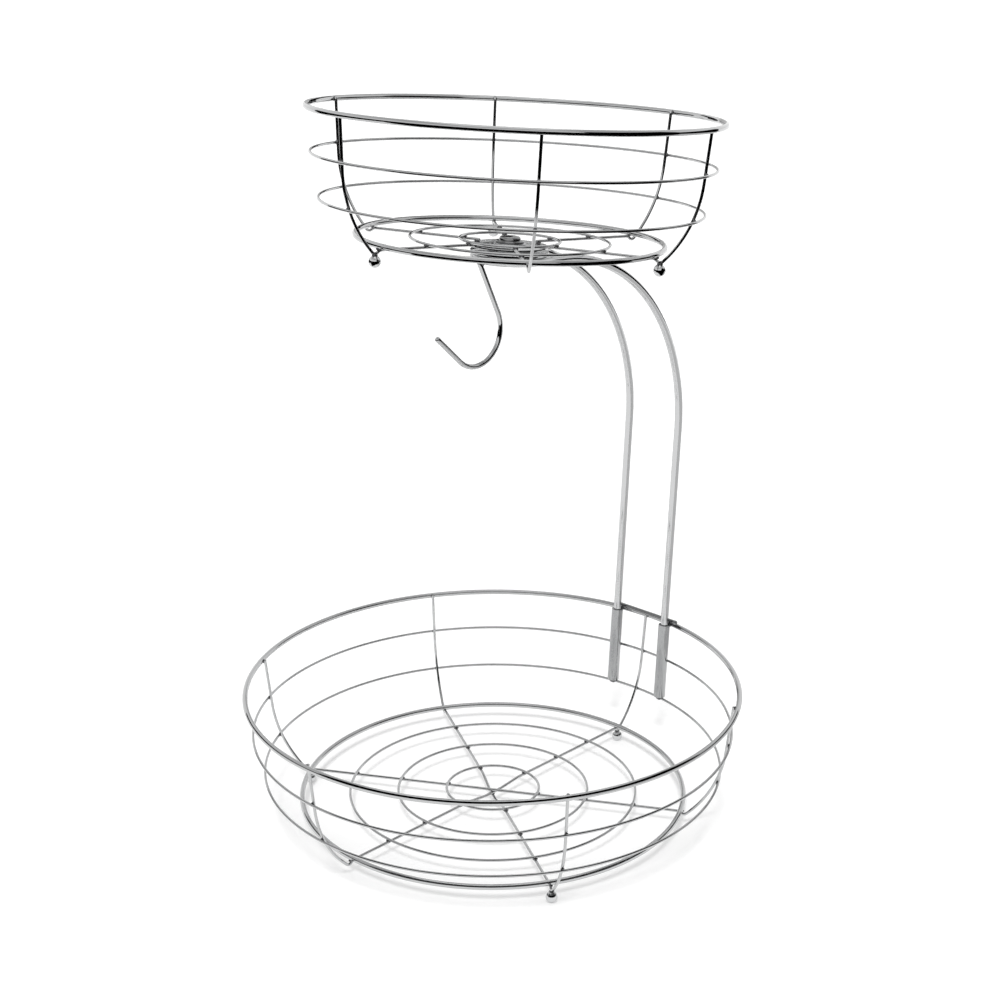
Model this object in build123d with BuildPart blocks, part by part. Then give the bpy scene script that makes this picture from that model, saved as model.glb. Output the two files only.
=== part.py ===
from build123d import *
from math import acos, asin, cos, radians, sin, sqrt, tan
import os

# Two-tier wire fruit basket: a wide lower basket with two sockets at its back, a bent
# wire arch that plugs into them, a smaller upper basket held on the arch by a stud and
# a domed nut, and a banana hook at the arch's front. Millimetres, +Z up. The origin is
# on the table under the centre of the lower basket, and the arch stands at the +Y side.

os.makedirs("parts", exist_ok=True)

# Wire diameters
rim_wire = 3.4
ring_wire = 1.7
rib_wire = 1.8
arch_wire_size = 5.0
crossbar_wire = 3.0
hook_wire = 3.2

# Gaps: a weld gap between pieces of one body, a face gap and a rest gap between bodies
weld_gap = 0.02
face_gap = 0.1
rest_gap = 0.32

# Ball feet
foot_ball = 7.0
foot_flat = 0.3

# What both baskets share: heights are above the plane of the floor rings
basket_depth = 72.0
side_ring_high_height = 46.5
side_ring_low_height = 20.6
side_straight_height = 42.0
side_bend_radius = 72.0
rib_end_above_rim = 1.2
rib_count = 6
foot_dip = 3.6
foot_dip_bend = 2.4
foot_dip_rise_angle = 36.0
spoke_bend = 4.0

# Lower basket
lower_rim_radius = 153.0
lower_side_lean = 6.5
lower_base_inset = 1.85
lower_outer_ring_share = 0.75
lower_middle_ring_share = 0.4975
lower_inner_ring_share = 0.243
lower_first_rib_angle = 30.0
lower_foot_angles = [90.0, 210.0, 330.0]
cross_span = 7.0
cross_slope_run = 16.0
cross_bend = 12.0

# Upper basket, on its own axis
upper_rim_radius = 119.4
upper_side_lean = 4.5
upper_base_inset = 2.56
upper_floor_ring_share = 0.649
upper_hub_radius = 29.2
upper_first_rib_angle = 19.65
upper_foot_angles = [19.65, 139.65, 259.65]
upper_spoke_end = 19.0

# Sockets at the back of the lower basket
leg_spacing = 41.0
socket_outer = 7.6
leg_clearance = 0.08
leg_end_lift = 0.6
socket_top_drop = 0.25
leg_end_chamfer = 0.5

# Arch
arch_lean = 3.6
arch_top_run = 25.7
hub_tilt = 4.2
hub_offset = 16.7
upper_floor_above_lower = 349.1
crossbar_overhang_left = 1.6
crossbar_overhang_right = 4.6
crossbar_end_round = 0.9

# Hub stack, under and over the spokes of the upper basket
hub_plate_radius = 22.5
hub_plate_thickness = 1.5
spacer_radius = 14.0
spacer_thickness = 1.6
seat_plate_radius = 23.0
seat_plate_thickness = 2.0
stud_size = 5.0
stud_clearance = 0.3
stud_head_radius = 4.6
stud_head_height = 2.4
stud_head_round = 1.0
washer_radius = 9.4
washer_thickness = 0.9
nut_flange_radius = 8.2
nut_flange_thickness = 1.3
nut_cap_radius = 6.3
nut_cap_height = 2.6
nut_cap_round = 1.2
nut_edge_round = 0.4
nut_bore_clearance = 0.05
nut_roof = 0.9
stud_tip_gap = 0.3

# Banana hook, in the arch's plane of symmetry
hook_bend_radius = 20.1
hook_shank_length = 34.1
hook_shank_lean = 25.5
hook_weld_run = 2.0
hook_tip_angle = 42.8
hook_tip_length = 25.2
hook_end_round = 1.0

# Derived wire radii
rim_r = rim_wire / 2
ring_r = ring_wire / 2
rib_r = rib_wire / 2
arch_r = arch_wire_size / 2
crossbar_r = crossbar_wire / 2
hook_r = hook_wire / 2
foot_r = foot_ball / 2

# Derived levels, above the plane of the floor rings
spoke_level = -(ring_r + rib_r + weld_gap)
foot_centre = -(foot_dip + rib_r + foot_r + weld_gap)
lower_floor_height = foot_r - foot_flat - foot_centre
rib_end_height = basket_depth + rib_end_above_rim

# Levels of the hub stack, above the plane of the upper basket's floor rings
hub_plate_top = spoke_level - rib_r - weld_gap
spacer_top = hub_plate_top - hub_plate_thickness - face_gap
seat_plate_top = spacer_top - spacer_thickness - weld_gap
seat_plate_bottom = seat_plate_top - seat_plate_thickness
loop_level = seat_plate_bottom - weld_gap - arch_r
washer_bottom = hub_plate_top + face_gap
nut_bottom = washer_bottom + washer_thickness + face_gap
nut_top = nut_bottom + nut_flange_thickness + nut_cap_height
stud_tip = nut_top - nut_roof - stud_tip_gap

# Frames of the two baskets: Z is each basket's axis, and the origin lies in its floor
lower_frame = Plane(origin=(0, 0, lower_floor_height), x_dir=(1, 0, 0), z_dir=(0, 0, 1))
upper_frame = Plane(
    origin=(0, hub_offset, lower_floor_height + upper_floor_above_lower),
    x_dir=(1, 0, 0),
    z_dir=(0, sin(radians(hub_tilt)), cos(radians(hub_tilt))),
)


def rib_radius(rim_radius, lean, height):
    """The distance of a rib's centreline from the axis of its basket, at a height."""
    slope = radians(lean)
    at_rim = rim_radius - (rim_r + rib_r + weld_gap) / cos(slope)
    if height >= side_straight_height:
        return at_rim - (basket_depth - height) * tan(slope)
    bend_start = at_rim - (basket_depth - side_straight_height) * tan(slope)
    centre_radius = bend_start - side_bend_radius * cos(slope)
    centre_height = side_straight_height + side_bend_radius * sin(slope)
    return centre_radius + sqrt(side_bend_radius**2 - (centre_height - height) ** 2)


def side_ring_radius(rim_radius, lean, height):
    """The centreline radius of a side ring that lies against the outside of the ribs."""
    centre_drop = side_straight_height + side_bend_radius * sin(radians(lean)) - height
    if height >= side_straight_height:
        tip = radians(lean)
    else:
        tip = asin(centre_drop / side_bend_radius)
    return rib_radius(rim_radius, lean, height) + (rib_r + ring_r + weld_gap) / cos(tip)


def radial_plane(frame, angle):
    """The upright plane through a basket's axis, with X outwards and Y up the axis."""
    turn = radians(angle)
    spoke_plane = Plane(
        origin=(0, 0, 0), x_dir=(cos(turn), sin(turn), 0), z_dir=(sin(turn), -cos(turn), 0)
    )
    return Plane(frame * spoke_plane)


def rib_side_points(rim_radius, lean):
    """The points that a rib passes, from its top end to the spoke, and the dip's bottom."""
    slope = radians(lean)
    top = (rib_radius(rim_radius, lean, rib_end_height), rib_end_height)
    bend_start = (rib_radius(rim_radius, lean, side_straight_height), side_straight_height)
    bend_end_height = -foot_dip + foot_dip_bend
    bend_end = (rib_radius(rim_radius, lean, bend_end_height), bend_end_height)
    centre_height = side_straight_height + side_bend_radius * sin(slope)
    fall = acos((centre_height - bend_end_height) / side_bend_radius)
    rise = radians(foot_dip_rise_angle)
    corner_run = foot_dip_bend * tan((fall + rise) / 2)
    dip_height = -foot_dip + foot_dip_bend * (1 - cos(fall)) - corner_run * sin(fall)
    dip = (bend_end[0] - (bend_end_height - dip_height) / tan(fall), dip_height)
    rise_end = (dip[0] - (spoke_level - dip_height) / tan(rise), spoke_level)
    bottom_radius = dip[0] + corner_run * cos(fall) - foot_dip_bend * sin(fall)
    return top, bend_start, bend_end, dip, rise_end, bottom_radius


def foot_radius(rim_radius, lean):
    """The distance of a foot from the axis of its basket: under the bottom of the dip."""
    return rib_side_points(rim_radius, lean)[-1]


def base_ring_level(rim_radius, lean, ring_radius):
    """The height of a base ring that rests on the bend where the spokes turn down."""
    rise_end = rib_side_points(rim_radius, lean)[-2]
    bend_centre = rise_end[0] - spoke_bend * tan(radians(foot_dip_rise_angle) / 2)
    reach = spoke_bend + rib_r + rim_r + weld_gap
    return spoke_level - spoke_bend + sqrt(reach**2 - (ring_radius - bend_centre) ** 2)


def make_ring(name, frame, radius, level, wire_radius):
    """A closed wire ring round the axis of a frame."""
    section_plane = radial_plane(frame, 0)
    with BuildPart() as ring:
        with BuildSketch(section_plane):
            with Locations((radius, level)):
                Circle(wire_radius)
        revolve(axis=Axis(frame.origin, frame.z_dir))
    ring.part.label = name
    export_step(ring.part, f"parts/{name}.step")
    return ring


def make_foot(name, frame, rim_radius, lean, angle, flat):
    """A ball welded under a rib's dip, with a small flat where it can stand."""
    dip_radius = foot_radius(rim_radius, lean)
    plane = radial_plane(frame, angle)
    with BuildPart() as foot:
        with BuildSketch(plane.shift_origin(plane.from_local_coords((dip_radius, foot_centre, 0)))):
            with BuildLine():
                CenterArc((0, 0), foot_r, -90, 180)
                Line((0, foot_r), (0, -foot_r))
            make_face()
        foot_centre_point = plane.from_local_coords((dip_radius, foot_centre, 0))
        revolve(axis=Axis(foot_centre_point, frame.z_dir))
        if flat:
            cut_plane = Plane(
                origin=foot_centre_point - frame.z_dir * (foot_r - foot_flat), z_dir=frame.z_dir
            )
            split(bisect_by=cut_plane, keep=Keep.TOP)
    foot.part.label = name
    export_step(foot.part, f"parts/{name}.step")
    return foot


# Rings of the lower basket
make_ring("lower_rim_ring", lower_frame, lower_rim_radius, basket_depth, rim_r)
lower_base_radius = foot_radius(lower_rim_radius, lower_side_lean) - lower_base_inset
base_level = base_ring_level(lower_rim_radius, lower_side_lean, lower_base_radius)
make_ring("lower_base_ring", lower_frame, lower_base_radius, base_level, rim_r)
for place, height in (("high", side_ring_high_height), ("low", side_ring_low_height)):
    radius = side_ring_radius(lower_rim_radius, lower_side_lean, height)
    make_ring(f"lower_side_ring_{place}", lower_frame, radius, height, ring_r)
for place, share in (
    ("outer", lower_outer_ring_share),
    ("middle", lower_middle_ring_share),
    ("inner", lower_inner_ring_share),
):
    radius = lower_base_radius * share
    make_ring(f"lower_floor_ring_{place}", lower_frame, radius, 0, ring_r)

# Rings of the upper basket
make_ring("upper_rim_ring", upper_frame, upper_rim_radius, basket_depth, rim_r)
upper_base_radius = foot_radius(upper_rim_radius, upper_side_lean) - upper_base_inset
base_level = base_ring_level(upper_rim_radius, upper_side_lean, upper_base_radius)
make_ring("upper_base_ring", upper_frame, upper_base_radius, base_level, rim_r)
for place, height in (("high", side_ring_high_height), ("low", side_ring_low_height)):
    radius = side_ring_radius(upper_rim_radius, upper_side_lean, height)
    make_ring(f"upper_side_ring_{place}", upper_frame, radius, height, ring_r)
upper_floor_radius = upper_base_radius * upper_floor_ring_share
make_ring("upper_floor_ring", upper_frame, upper_floor_radius, 0, ring_r)
make_ring("upper_hub_ring", upper_frame, upper_hub_radius, 0, ring_r)

# Ribs of the lower basket: each wire is two opposite ribs and the spoke between them.
# The three wires are stacked where they cross, one wire thickness apart.
for number in range(rib_count // 2):
    name = f"lower_rib_wire_{number + 1}"
    step_angle = 360 / rib_count
    plane = radial_plane(lower_frame, lower_first_rib_angle + number * step_angle)
    top, bend_start, bend_end, dip, rise_end, bottom_radius = rib_side_points(
        lower_rim_radius, lower_side_lean
    )
    cross_level = spoke_level - number * (rib_wire + weld_gap)
    with BuildPart() as rib:
        with BuildLine(plane) as path:
            for side in (1, -1):
                Line((side * top[0], top[1]), (side * bend_start[0], bend_start[1]))
                RadiusArc(
                    (side * bend_start[0], bend_start[1]),
                    (side * bend_end[0], bend_end[1]),
                    side * side_bend_radius,
                )
                corners = [bend_end, dip, rise_end]
                bends = [foot_dip_bend, spoke_bend]
                if number:
                    corners += [(cross_span + cross_slope_run, spoke_level)]
                    corners += [(cross_span, cross_level)]
                    bends += [cross_bend, cross_bend]
                corners += [(0, cross_level)]
                FilletPolyline([(side * x, y) for x, y in corners], radius=bends)
        with BuildSketch(Plane(origin=path.line @ 0, z_dir=path.line % 0)):
            Circle(rib_r)
        sweep(path=path.line)
    rib.part.label = name
    export_step(rib.part, f"parts/{name}.step")

# Ribs of the upper basket: six bent wires that end on the hub plate
for number in range(rib_count):
    name = f"upper_rib_{number + 1}"
    step_angle = 360 / rib_count
    plane = radial_plane(upper_frame, upper_first_rib_angle + number * step_angle)
    top, bend_start, bend_end, dip, rise_end, bottom_radius = rib_side_points(
        upper_rim_radius, upper_side_lean
    )
    with BuildPart() as rib:
        with BuildLine(plane) as path:
            Line(top, bend_start)
            RadiusArc(bend_start, bend_end, side_bend_radius)
            FilletPolyline(
                [bend_end, dip, rise_end, (upper_spoke_end, spoke_level)],
                radius=[foot_dip_bend, spoke_bend],
            )
        with BuildSketch(Plane(origin=path.line @ 0, z_dir=path.line % 0)):
            Circle(rib_r)
        sweep(path=path.line)
    rib.part.label = name
    export_step(rib.part, f"parts/{name}.step")

# Feet
for number, angle in enumerate(lower_foot_angles, 1):
    make_foot(
        f"lower_foot_{number}", lower_frame, lower_rim_radius, lower_side_lean, angle, True
    )
for number, angle in enumerate(upper_foot_angles, 1):
    make_foot(
        f"upper_foot_{number}", upper_frame, upper_rim_radius, upper_side_lean, angle, False
    )


def make_disc(name, frame, radius, bottom, thickness, hole_radius):
    """A flat round plate with a centre hole, on the axis of a frame."""
    with BuildPart() as disc:
        with BuildSketch(frame.offset(bottom)):
            Circle(radius)
            Circle(hole_radius, mode=Mode.SUBTRACT)
        extrude(amount=thickness)
    disc.part.label = name
    export_step(disc.part, f"parts/{name}.step")
    return disc


# The legs of the arch lean back in the sockets, which lie against the high side ring
lean = radians(arch_lean)
leg_x = leg_spacing / 2
socket_r = socket_outer / 2
high_ring_radius = side_ring_radius(lower_rim_radius, lower_side_lean, side_ring_high_height)
socket_reach = high_ring_radius - ring_r - socket_r / cos(lean) - 2 * weld_gap
leg_direction = Vector(0, sin(lean), cos(lean))
leg_anchor_y = sqrt(socket_reach**2 - leg_x**2)
leg_anchor_z = lower_floor_height + side_ring_high_height


def leg_point(x, height):
    """A point on a leg's centreline, at a height above the lower basket's floor."""
    rise = height - side_ring_high_height
    return Vector(x, leg_anchor_y + rise * tan(lean), leg_anchor_z + rise)


# Sockets: tubes that stand on the low side ring and end just below the rim's top
socket_bottom = side_ring_low_height + ring_r + weld_gap + socket_r * sin(lean)
socket_top = basket_depth + rim_r - socket_top_drop
socket_length = (socket_top - socket_bottom) / cos(lean)
for side, place in ((-1, "left"), (1, "right")):
    socket_plane = Plane(
        origin=leg_point(side * leg_x, socket_bottom), x_dir=(1, 0, 0), z_dir=leg_direction
    )
    with BuildPart() as socket:
        with BuildSketch(socket_plane):
            Circle(socket_r)
            Circle(arch_r + leg_clearance, mode=Mode.SUBTRACT)
        extrude(amount=socket_length)
    socket.part.label = f"socket_{place}"
    export_step(socket.part, f"parts/socket_{place}.step")

# Arch: two legs, two bends over the top, and a half loop round the hub
tilt = radians(hub_tilt)
hub_up = Vector(0, sin(tilt), cos(tilt))
hub_forward = Vector(0, -cos(tilt), sin(tilt))
loop_centre = upper_frame.origin + hub_up * loop_level
leg_inward = Vector(0, -cos(lean), sin(lean))
leg_foot = leg_point(0, side_ring_high_height)
leg_to_loop = (loop_centre - leg_foot).dot(leg_inward)
corner_to_loop = leg_to_loop / cos(tilt - lean)
arch_turn = (radians(90) - tilt + lean) / 2
arch_bend_radius = (corner_to_loop - arch_top_run) / tan(arch_turn)
top_line = loop_centre.dot(hub_up) - arch_bend_radius
leg_line = leg_foot.dot(leg_inward) + arch_bend_radius
bend_centre_y = (top_line * sin(lean) - leg_line * cos(tilt)) / cos(tilt - lean)
bend_centre_z = (leg_line * sin(tilt) + top_line * cos(lean)) / cos(tilt - lean)
leg_end_height = socket_bottom + leg_end_lift
with BuildPart() as arch:
    with BuildLine() as arch_path:
        for side in (-1, 1):
            bend_centre = Vector(side * leg_x, bend_centre_y, bend_centre_z)
            leg_top = bend_centre - leg_inward * arch_bend_radius
            bend_middle = bend_centre + (hub_up - leg_inward).normalized() * arch_bend_radius
            bend_end = bend_centre + hub_up * arch_bend_radius
            Line(leg_point(side * leg_x, leg_end_height), leg_top)
            ThreePointArc(leg_top, bend_middle, bend_end)
            Line(bend_end, loop_centre + Vector(side * leg_x, 0, 0))
        ThreePointArc(
            loop_centre - Vector(leg_x, 0, 0),
            loop_centre + hub_forward * leg_x,
            loop_centre + Vector(leg_x, 0, 0),
        )
    leg_end = Plane(origin=leg_point(-leg_x, leg_end_height), x_dir=(1, 0, 0), z_dir=leg_direction)
    with BuildSketch(leg_end):
        Circle(arch_r)
    sweep(path=arch_path.line)
    chamfer(arch.faces().filter_by(GeomType.PLANE).edges(), leg_end_chamfer)
arch.part.label = "arch_wire"
export_step(arch.part, "parts/arch_wire.step")

# Crossbar: welded behind the legs, it stops on the rim of the lower basket
crossbar_back = Vector(0, (arch_r + crossbar_r + weld_gap) / cos(lean), 0)
crossbar_start = -leg_x - arch_r - crossbar_overhang_left
crossbar_end = leg_x + arch_r + crossbar_overhang_right
rim_end_y = sqrt(lower_rim_radius**2 - crossbar_end**2)
crossbar_offset = rim_end_y - (leg_point(0, basket_depth) + crossbar_back).Y
crossbar_reach = rim_r + rest_gap + crossbar_r
crossbar_height = basket_depth + sqrt(crossbar_reach**2 - crossbar_offset**2)
crossbar_length = crossbar_end - crossbar_start
crossbar_plane = Plane(
    origin=leg_point(crossbar_start, crossbar_height) + crossbar_back, z_dir=(1, 0, 0)
)
with BuildPart() as crossbar:
    with BuildSketch(crossbar_plane):
        Circle(crossbar_r)
    extrude(amount=crossbar_length)
    fillet(crossbar.faces().filter_by(GeomType.PLANE).edges(), crossbar_end_round)
crossbar.part.label = "arch_crossbar"
export_step(crossbar.part, "parts/arch_crossbar.step")

# Hub stack: the seat plate on the arch, the spacer, and the hub plate under the spokes
stud_r = stud_size / 2
stud_hole = stud_r + stud_clearance
make_disc(
    "arch_seat_plate", upper_frame, seat_plate_radius, seat_plate_bottom, seat_plate_thickness,
    stud_r + face_gap,
)
make_disc(
    "hub_spacer", upper_frame, spacer_radius, spacer_top - spacer_thickness, spacer_thickness,
    stud_hole,
)
make_disc(
    "upper_hub_plate", upper_frame, hub_plate_radius, hub_plate_top - hub_plate_thickness,
    hub_plate_thickness, stud_hole,
)
make_disc("nut_washer", upper_frame, washer_radius, washer_bottom, washer_thickness, stud_hole)

# Stud: a round head under the seat plate, and a shank up into the nut
with BuildPart() as stud:
    with BuildSketch(upper_frame.offset(seat_plate_bottom - weld_gap)):
        Circle(stud_head_radius)
    extrude(amount=-stud_head_height)
    head_faces = stud.faces().filter_by(GeomType.PLANE).sort_by(Axis(upper_frame.origin, hub_up))
    fillet(head_faces[0].edges(), stud_head_round)
    with BuildSketch(upper_frame.offset(seat_plate_bottom - weld_gap)):
        Circle(stud_r)
    extrude(amount=stud_tip - seat_plate_bottom + weld_gap)
stud.part.label = "hub_stud"
export_step(stud.part, "parts/hub_stud.step")

# Domed nut: a flange and a rounded cap, with a blind bore for the stud
with BuildPart() as nut:
    with BuildSketch(upper_frame.offset(nut_bottom)):
        Circle(nut_flange_radius)
    extrude(amount=nut_flange_thickness)
    nut_faces = nut.faces().filter_by(GeomType.PLANE).sort_by(Axis(upper_frame.origin, hub_up))
    fillet(nut_faces[-1].edges(), nut_edge_round)
    with BuildSketch(upper_frame.offset(nut_bottom + nut_flange_thickness)):
        Circle(nut_cap_radius)
    extrude(amount=nut_cap_height)
    cap_faces = nut.faces().filter_by(GeomType.PLANE).sort_by(Axis(upper_frame.origin, hub_up))
    fillet(cap_faces[-1].edges(), nut_cap_round)
    with BuildSketch(upper_frame.offset(nut_bottom)):
        Circle(stud_r + nut_bore_clearance)
    extrude(amount=nut_top - nut_roof - nut_bottom, mode=Mode.SUBTRACT)
nut.part.label = "domed_nut"
export_step(nut.part, "parts/domed_nut.step")

# Banana hook: a shank welded to the front of the loop, a round bend and a rising tip
shank_lean = radians(hook_shank_lean)
tip_rise = radians(hook_tip_angle)
shank_direction = Vector(0, sin(shank_lean), -cos(shank_lean))
shank_outward = Vector(0, cos(shank_lean), sin(shank_lean))
tip_direction = Vector(0, -cos(tip_rise), sin(tip_rise))
tip_outward = Vector(0, -sin(tip_rise), -cos(tip_rise))
loop_front = loop_centre + hub_forward * leg_x
hook_weld = loop_front - shank_outward * (arch_r + hook_r + weld_gap)
hook_bend_start = hook_weld + shank_direction * hook_shank_length
hook_centre = hook_bend_start - shank_outward * hook_bend_radius
hook_bend_end = hook_centre + tip_outward * hook_bend_radius
hook_middle = (shank_outward + tip_outward).normalized() * hook_bend_radius
with BuildPart() as hook:
    with BuildLine() as hook_path:
        Line(hook_weld - shank_direction * hook_weld_run, hook_bend_start)
        ThreePointArc(hook_bend_start, hook_centre + hook_middle, hook_bend_end)
        Line(hook_bend_end, hook_bend_end + tip_direction * hook_tip_length)
    with BuildSketch(Plane(origin=hook_path.line @ 0, z_dir=hook_path.line % 0)):
        Circle(hook_r)
    sweep(path=hook_path.line)
    fillet(hook.faces().filter_by(GeomType.PLANE).edges(), hook_end_round)
hook.part.label = "banana_hook"
export_step(hook.part, "parts/banana_hook.step")
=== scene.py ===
# %% [markdown]
# # A tiered wire fruit basket in bright chrome
#
# The real object is steel wire, bent on jigs, spot-welded at every crossing and then
# chrome-plated. The CAD model fixes where each wire lies. This script gives every wire a
# smooth surface, adds the welds and the small cut marks that CAD leaves out, and builds a
# plain white studio that lets the chrome show its dark and light bands.

# %% Load the fixed frame
import bpy
import bmesh
from math import acos, cos, degrees, pi, radians, sin, sqrt, tan
from mathutils import Matrix, Vector


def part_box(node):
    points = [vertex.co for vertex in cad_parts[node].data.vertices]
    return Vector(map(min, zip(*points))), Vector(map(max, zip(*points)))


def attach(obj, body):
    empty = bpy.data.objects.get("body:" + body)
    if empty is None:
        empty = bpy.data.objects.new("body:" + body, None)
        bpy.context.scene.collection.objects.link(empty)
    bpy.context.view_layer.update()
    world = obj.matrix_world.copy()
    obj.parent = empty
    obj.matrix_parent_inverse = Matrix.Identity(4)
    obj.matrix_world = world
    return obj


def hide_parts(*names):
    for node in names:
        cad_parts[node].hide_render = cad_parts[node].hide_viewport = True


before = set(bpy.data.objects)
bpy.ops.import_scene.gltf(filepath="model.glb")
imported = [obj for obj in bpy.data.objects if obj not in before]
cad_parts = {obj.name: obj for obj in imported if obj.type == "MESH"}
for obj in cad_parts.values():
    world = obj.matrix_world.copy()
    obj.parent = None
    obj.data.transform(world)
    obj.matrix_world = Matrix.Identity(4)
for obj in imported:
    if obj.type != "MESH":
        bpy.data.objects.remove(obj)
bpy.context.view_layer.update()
mm = 0.001

# %% [markdown]
# ## The sizes that the wires share
#
# A wire is fully described by its gauge and by the line that its middle follows. The sizes
# here repeat the CAD's, in metres, so that every new wire lies exactly on its CAD wire.
# The upper basket leans back a little with the stand, so it has its own upright axis.

# %% Wire gauges and basket sizes
rim_gauge = 3.4 * mm
ring_gauge = 1.7 * mm
rib_gauge = 1.8 * mm
arch_gauge = 5.0 * mm
crossbar_gauge = 3.0 * mm
hook_gauge = 3.2 * mm
weld_gap = 0.02 * mm

basket_depth = 72 * mm
side_straight_height = 42 * mm
side_bend_radius = 72 * mm
rib_end_above_rim = 1.2 * mm
foot_dip = 3.6 * mm
foot_dip_bend = 2.4 * mm
foot_dip_rise = radians(36)
spoke_bend = 4 * mm
spoke_level = -(ring_gauge / 2 + rib_gauge / 2 + weld_gap)

lower_lean = radians(6.5)
upper_lean = radians(4.5)
lower_floor = Vector((0, 0, 11.22 * mm))
upper_floor = Vector((0, 16.7 * mm, 360.32 * mm))
up = Vector((0, 0, 1))
hub_tilt = radians(4.2)
hub_up = Vector((0, sin(hub_tilt), cos(hub_tilt)))
print("the upper floor is", round((upper_floor.z - lower_floor.z) / mm, 1), "mm over the lower")

# %% [markdown]
# ## Chrome
#
# Chrome plate is almost a mirror: no colour of its own, and nearly no roughness. What keeps
# it from looking like computer chrome is what the wire under it does. Drawn wire carries
# faint lengthwise die marks, the plating bath leaves a soft unevenness, and handling leaves
# a thin haze here and there. So the material is a metal whose roughness varies a little
# over centimetres, with a very shallow bump of fine marks over millimetres. Object
# coordinates are used, because the pattern then sits still on each piece. Where the marks
# run lengthwise, the pattern is squeezed along the wire.
#
# The front rib of the upper basket looks milky in its lower part. That is a painted reflection:
# below a given height the finish is less of a mirror and shows a pale grey of its own.

# %% A chrome material with its own amount of marks and haze
haze_per_metre = 42
haze_starts, haze_full = 0.35, 0.75
tint_under_haze = 0.93
mark_strength = 0.35
# Painted reflection on the front rib: how far metallic drops, and over what height it fades in.
painted_reflection_metallic, painted_reflection_fade = 0.2, 7 * mm


def chrome(name, tint, smooth, hazy, mark_size, mark_depth, squeeze=(1, 1, 1), painted_reflection_below=None):
    material = bpy.data.materials.new(name)
    material.use_nodes = True
    nodes, links = material.node_tree.nodes, material.node_tree.links
    metal = nodes["Principled BSDF"]
    metal.inputs["Metallic"].default_value = 1.0
    where = nodes.new("ShaderNodeTexCoord")
    mapping = nodes.new("ShaderNodeMapping")
    mapping.inputs["Scale"].default_value = squeeze
    links.new(where.outputs["Object"], mapping.inputs["Vector"])

    haze = nodes.new("ShaderNodeTexNoise")
    haze.inputs["Scale"].default_value = haze_per_metre
    haze.inputs["Detail"].default_value = 3
    links.new(where.outputs["Object"], haze.inputs["Vector"])
    haze_range = nodes.new("ShaderNodeMapRange")
    haze_range.inputs["From Min"].default_value = haze_starts
    haze_range.inputs["From Max"].default_value = haze_full
    haze_range.inputs["To Min"].default_value = smooth
    haze_range.inputs["To Max"].default_value = hazy
    links.new(haze.outputs["Fac"], haze_range.inputs["Value"])
    links.new(haze_range.outputs["Result"], metal.inputs["Roughness"])

    shade = nodes.new("ShaderNodeMix")
    shade.data_type = "RGBA"
    shade.inputs["A"].default_value = (*tint, 1)
    shade.inputs["B"].default_value = (*[tint_under_haze * part for part in tint], 1)
    links.new(haze.outputs["Fac"], shade.inputs["Factor"])
    links.new(shade.outputs["Result"], metal.inputs["Base Color"])

    marks = nodes.new("ShaderNodeTexNoise")
    marks.inputs["Scale"].default_value = 1 / mark_size
    marks.inputs["Detail"].default_value = 4
    links.new(mapping.outputs["Vector"], marks.inputs["Vector"])
    bump = nodes.new("ShaderNodeBump")
    bump.inputs["Strength"].default_value = mark_strength
    bump.inputs["Distance"].default_value = mark_depth
    links.new(marks.outputs["Fac"], bump.inputs["Height"])
    links.new(bump.outputs["Normal"], metal.inputs["Normal"])

    # Painted reflection: below the given height the metal turns partly diffuse and pale.
    if painted_reflection_below:
        height = nodes.new("ShaderNodeSeparateXYZ")
        links.new(where.outputs["Object"], height.inputs["Vector"])
        painted_reflection_mask = nodes.new("ShaderNodeMapRange")
        painted_reflection_mask.inputs["From Min"].default_value = painted_reflection_below - painted_reflection_fade
        painted_reflection_mask.inputs["From Max"].default_value = painted_reflection_below
        painted_reflection_mask.inputs["To Min"].default_value = painted_reflection_metallic
        links.new(height.outputs["Z"], painted_reflection_mask.inputs["Value"])
        links.new(painted_reflection_mask.outputs["Result"], metal.inputs["Metallic"])
    print("material", name)
    return material


# %% The finishes of the basket's pieces
chrome_tint = (0.55, 0.555, 0.56)
thick_wire_chrome = chrome(
    "thick_wire_chrome", chrome_tint, smooth=0.04, hazy=0.11, mark_size=5 * mm,
    mark_depth=0.06 * mm,
)
thin_wire_chrome = chrome(
    "thin_wire_chrome", chrome_tint, smooth=0.05, hazy=0.13, mark_size=4 * mm,
    mark_depth=0.05 * mm,
)
arch_chrome = chrome(
    "arch_chrome", (0.62, 0.625, 0.63), smooth=0.04, hazy=0.1, mark_size=1.6 * mm,
    mark_depth=0.05 * mm, squeeze=(1, 0.08, 0.08),
)
sleeve_chrome = chrome(
    "sleeve_chrome", (0.42, 0.425, 0.43), smooth=0.12, hazy=0.24, mark_size=2 * mm,
    mark_depth=0.06 * mm, squeeze=(1, 1, 0.08),
)
plate_chrome = chrome(
    "plate_chrome", chrome_tint, smooth=0.07, hazy=0.16, mark_size=3 * mm,
    mark_depth=0.05 * mm,
)
weld_chrome = chrome(
    "weld_chrome", (0.17, 0.17, 0.175), smooth=0.12, hazy=0.3, mark_size=0.5 * mm,
    mark_depth=0.12 * mm,
)
bright_chrome = chrome(
    "bright_chrome", (0.66, 0.665, 0.67), smooth=0.02, hazy=0.06, mark_size=6 * mm,
    mark_depth=0.03 * mm,
)
# Painted shade: a darker chrome for the crossbar and the domed nut, standing in for the shade
# between the legs and the dark reflection on the nut's top.
painted_shade_chrome = chrome(
    "painted_shade_chrome", (0.28, 0.283, 0.286), smooth=0.05, hazy=0.13, mark_size=5 * mm,
    mark_depth=0.06 * mm,
)
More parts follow.
